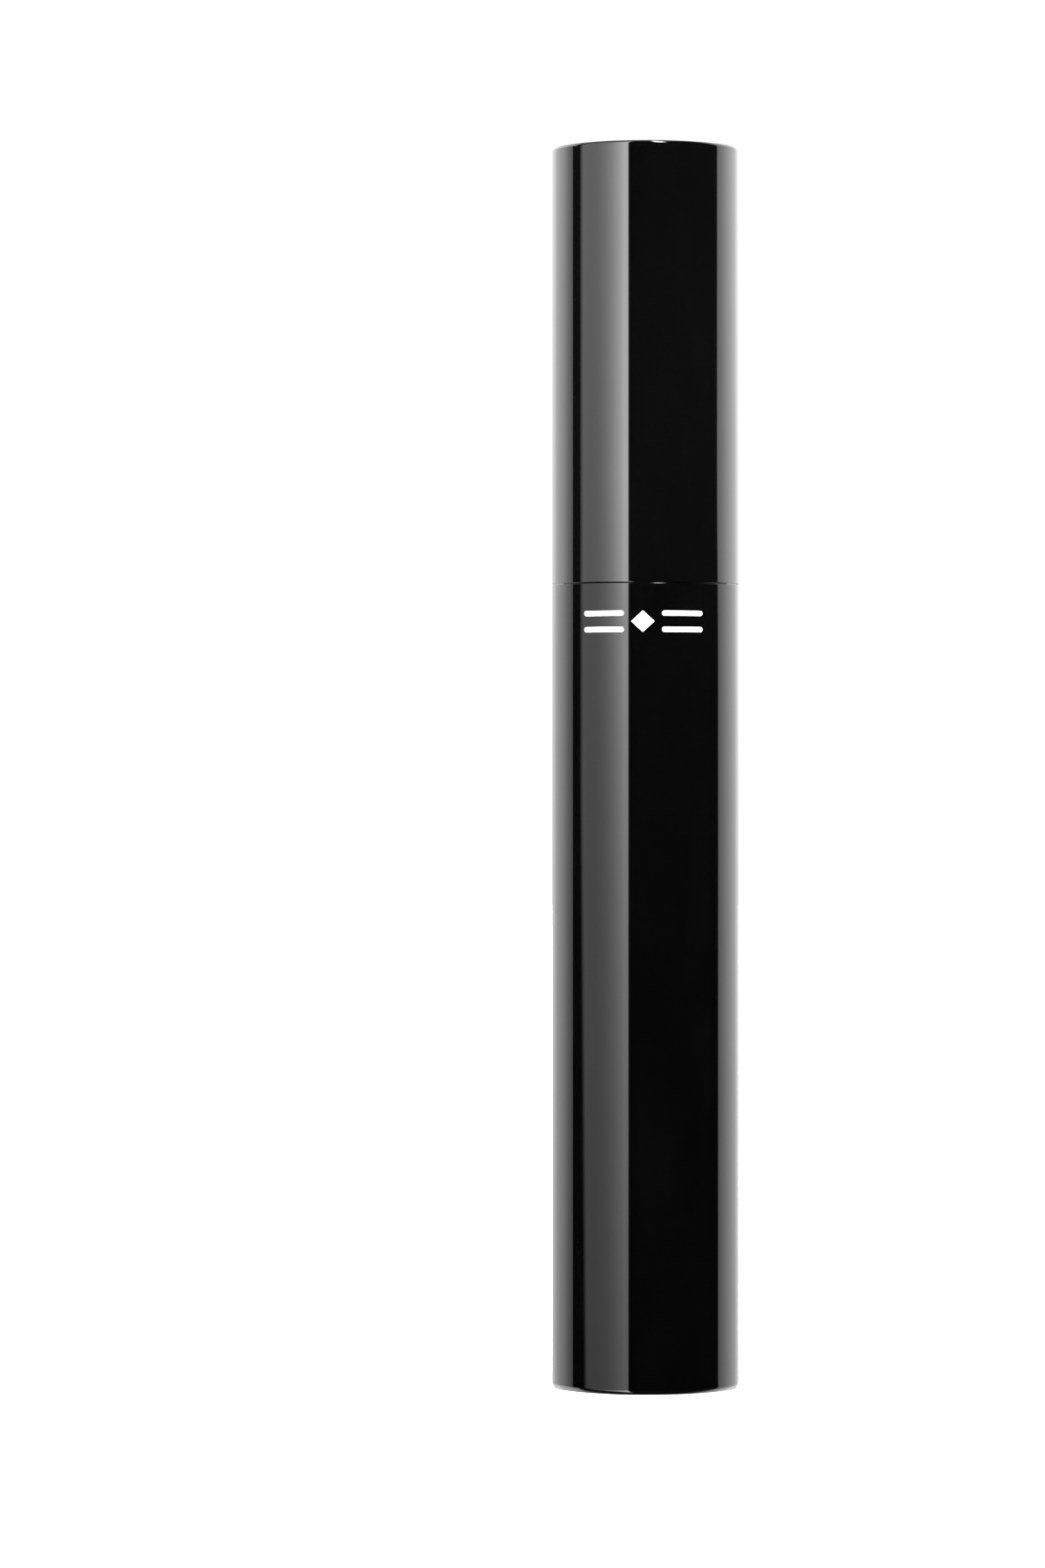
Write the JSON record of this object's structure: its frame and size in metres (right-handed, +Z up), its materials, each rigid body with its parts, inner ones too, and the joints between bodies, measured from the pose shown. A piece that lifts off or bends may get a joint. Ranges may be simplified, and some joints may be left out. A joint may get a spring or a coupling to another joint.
{
  "type": "mascara tube",
  "caption": "Slim round gloss black mascara with a screw cap that draws out on a tapered rod with a moulded spiky brush, through a soft wiper in the threaded neck.",
  "frame": {"origin": "centre of the flat base that the closed tube stands on", "axes": "+Z up the tube's axis, from the bottle to the cap's closed end; +X and +Y across it"},
  "size_m": [0.0196, 0.0196, 0.13],
  "materials": {
    "black_lacquer": "high gloss black lacquer",
    "label_film": "blank satin film sticker",
    "vial_plastic": "moulded gloss black",
    "wiper_elastomer": "soft satin black",
    "formula": "wet black cream",
    "washer_foam": "soft white washer",
    "insert_plastic": "moulded satin black",
    "steel": "turned steel",
    "rod_plastic": "moulded gloss black",
    "bristle_elastomer": "moulded soft black"
  },
  "bodies": {
    "bottle": {"outer_sleeve": "black_lacquer", "base_label": "label_film", "vial": "vial_plastic", "shoulder_ring": "vial_plastic", "wiper": "wiper_elastomer", "formula_bulk": "formula"},
    "seal": {"seal_ring": "washer_foam"},
    "cap": {"cap_shell": "black_lacquer", "inner_cap": "insert_plastic", "cap_weight": "steel", "rod": "rod_plastic", "brush_core": "rod_plastic", "brush_bristles": "bristle_elastomer", "formula_coat": "formula"}
  },
  "joints": [
    {"name": "cap_lift", "type": "slide", "parent": "bottle", "child": "seal", "axis": [0, 0, 1], "range_m": [0, 0.092], "deforming": ["wiper"]},
    {"name": "cap_turn", "type": "hinge", "parent": "seal", "child": "cap", "pos_m": [0, 0, 0.08424], "axis": [0, 0, 1], "range_deg": [0, 972]}
  ]
}
